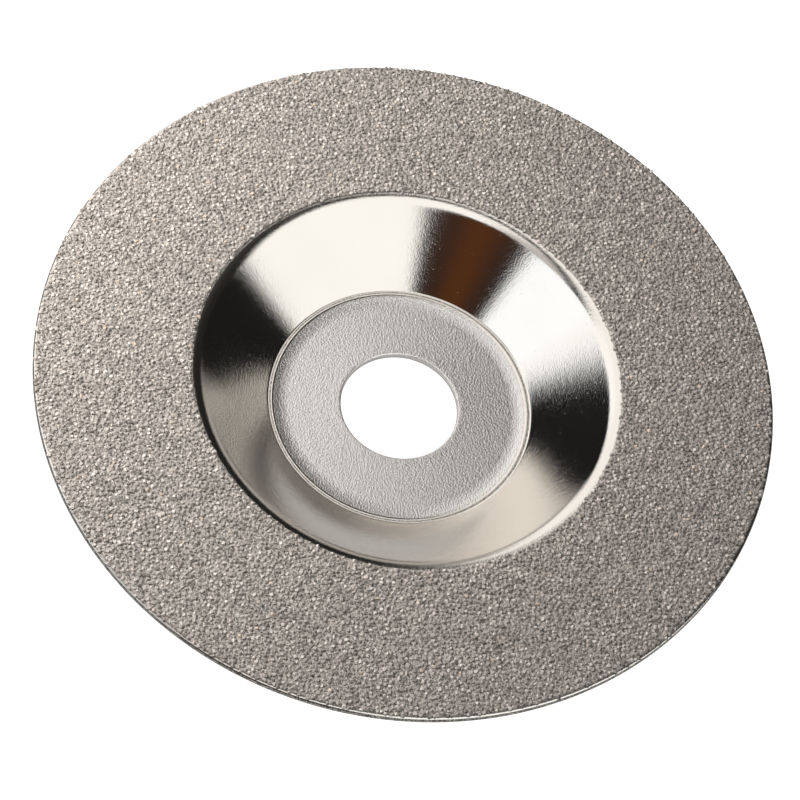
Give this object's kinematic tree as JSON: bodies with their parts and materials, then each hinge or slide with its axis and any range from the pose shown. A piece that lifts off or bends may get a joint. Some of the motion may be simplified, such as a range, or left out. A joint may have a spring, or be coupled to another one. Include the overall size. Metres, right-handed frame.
{
  "type": "diamond grinding wheel",
  "caption": "Round depressed-centre grinding wheel: a pressed steel dish with a flat rim coated in diamond grit and a central spindle hole.",
  "frame": {"origin": "centre of the spindle hole in the plane of the hub's back face, on which the wheel rests", "axes": "+Z along the wheel's axis of rotation, towards the diamond face; X and Y are any two radii"},
  "size_m": [0.1, 0.1, 0.0097],
  "materials": {
    "steel_body": "bright nickel plating",
    "nickel_bond": "satin nickel",
    "diamond_grit": "sparkling coarse grit"
  },
  "bodies": {
    "root": {"pressed_steel_body": "steel_body", "nickel_bond": "nickel_bond", "diamond_grit": "diamond_grit"}
  },
  "joints": []
}
